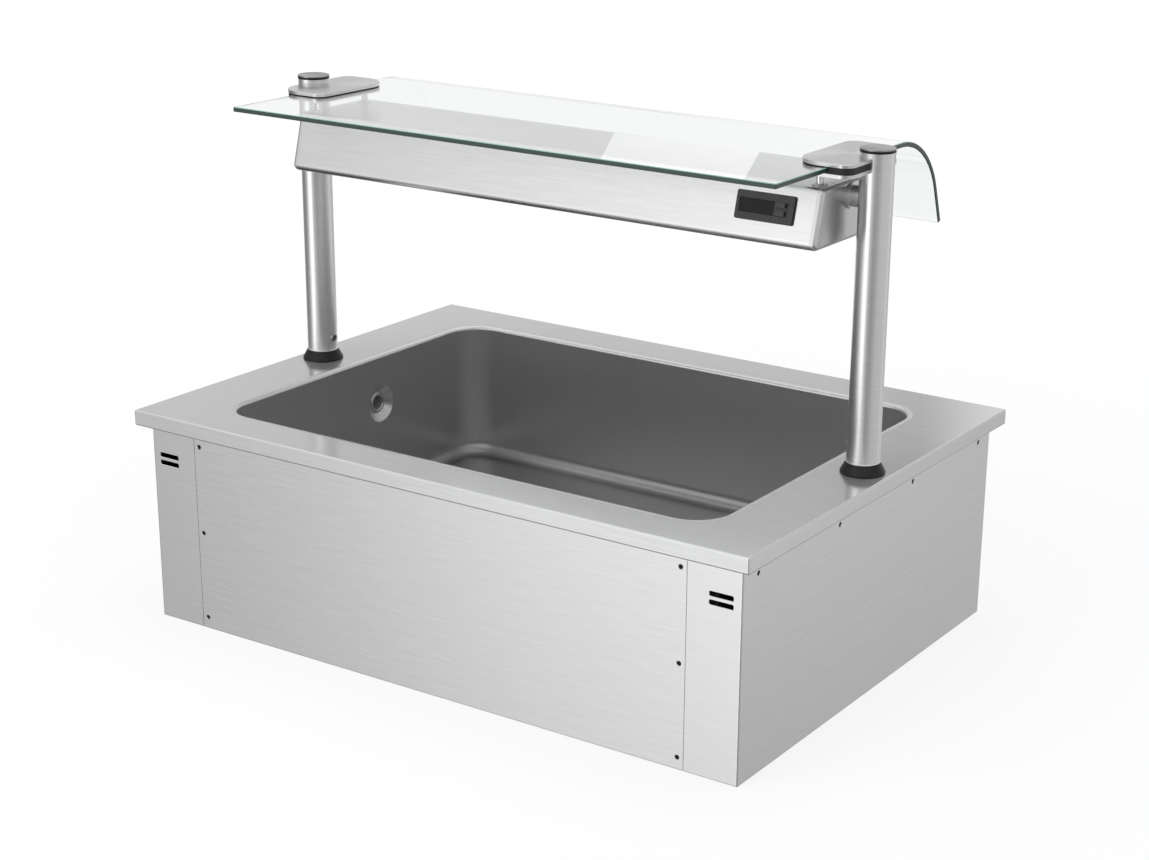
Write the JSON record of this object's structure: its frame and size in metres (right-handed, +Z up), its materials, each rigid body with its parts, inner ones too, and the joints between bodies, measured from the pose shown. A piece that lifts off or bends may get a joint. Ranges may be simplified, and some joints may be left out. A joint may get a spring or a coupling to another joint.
{
  "type": "drop-in ice cream display",
  "caption": "Stainless drop-in cold well in a shallow casing, under a bent glass canopy on posts with a light housing and controller; has an overflow and a lever-operated drain.",
  "frame": {"origin": "under the middle of the casing and worktop, on the casing's flat base", "axes": "+X along the well to the operator's right, +Y from the operator to the customer, +Z up"},
  "size_m": [0.9, 0.65, 0.6645],
  "materials": {
    "worktop_steel": "fine brushed stainless sheet",
    "well_steel": "brushed stainless pressing",
    "panel_steel": "brushed stainless sheet",
    "post_steel": "bright brushed stainless tube",
    "clamp_steel": "satin stainless plate",
    "housing_steel": "satin stainless sheet",
    "frame_steel": "plain zinc-coated steel",
    "screw_black": "black screws",
    "screw_steel": "plain steel fasteners",
    "black_rubber": "matte black rubber",
    "clear_glass": "clear toughened glass with green edges",
    "diffuser": "clear diffusing sheet",
    "led_board": "white board with light sources",
    "controller_case": "dark grey plastic",
    "controller_window": "dark display window",
    "controller_keys": "grey plastic keys",
    "foam": "black closed-cell insulating foam",
    "copper": "plain copper tube",
    "brass": "plain brass",
    "pipe_plastic": "grey plastic pipe",
    "lever_plastic": "red coated lever",
    "box_plastic": "light grey plastic",
    "cable": "black cable sheath"
  },
  "bodies": {
    "unit": {"worktop": "worktop_steel", "well_tub": "well_steel", "skirt_frame": "frame_steel", "front_panel": "panel_steel", "side_panel_left": "panel_steel", "side_panel_right": "panel_steel", "back_panel": "panel_steel", "bottom_panel": "frame_steel", "front_panel_screws": "screw_black", "side_panel_screws": "screw_black", "back_panel_screws": "screw_steel", "corner_brackets": "frame_steel", "insulation_jacket": "foam", "evaporator_coil": "copper", "expansion_valve": "brass", "liquid_line": "copper", "suction_line": "copper", "temperature_probe": "screw_steel", "overflow_pipe": "pipe_plastic", "drain_waste": "post_steel", "drain_pipe": "pipe_plastic", "drain_valve_body": "brass", "drain_outlet": "pipe_plastic", "junction_box": "box_plastic", "junction_box_lid": "box_plastic", "cable_gland": "controller_case", "control_cable": "cable", "post_left": "post_steel", "post_right": "post_steel", "post_collar_left": "black_rubber", "post_collar_right": "black_rubber", "post_feet": "frame_steel", "post_backing_plates": "frame_steel", "post_foot_nuts": "screw_steel", "post_foot_screws": "screw_steel", "post_caps": "clamp_steel", "post_cap_rings": "black_rubber", "clamp_top_left": "clamp_steel", "clamp_top_right": "clamp_steel", "clamp_gasket_left": "black_rubber", "clamp_gasket_right": "black_rubber", "clamp_bottom_left": "clamp_steel", "clamp_bottom_right": "clamp_steel", "standoff_pins": "screw_steel", "standoff_washers": "screw_steel", "glass_canopy": "clear_glass", "housing_shell": "housing_steel", "housing_end_left": "housing_steel", "housing_end_right": "housing_steel", "light_diffuser": "diffuser", "led_strip": "led_board", "controller_body": "controller_case", "controller_window": "controller_window", "housing_bosses": "post_steel"},
    "key_up": {"key_up": "controller_keys"},
    "key_down": {"key_down": "controller_keys"},
    "drain_lever": {"drain_valve_ball": "screw_steel", "drain_valve_lever": "lever_plastic"}
  },
  "joints": [
    {"name": "key_up_press", "type": "slide", "parent": "unit", "child": "key_up", "axis": [0, 0.9636, -0.2673], "range_m": [0, 0.0008], "stiffness_N_per_m": 2500},
    {"name": "key_down_press", "type": "slide", "parent": "unit", "child": "key_down", "axis": [0, 0.9636, -0.2673], "range_m": [0, 0.0008], "stiffness_N_per_m": 2500},
    {"name": "drain_lever_turn", "type": "hinge", "parent": "unit", "child": "drain_lever", "pos_m": [-0.25, -0.082, 0.0355], "axis": [0, 0, 1], "range_deg": [0, 90]}
  ]
}
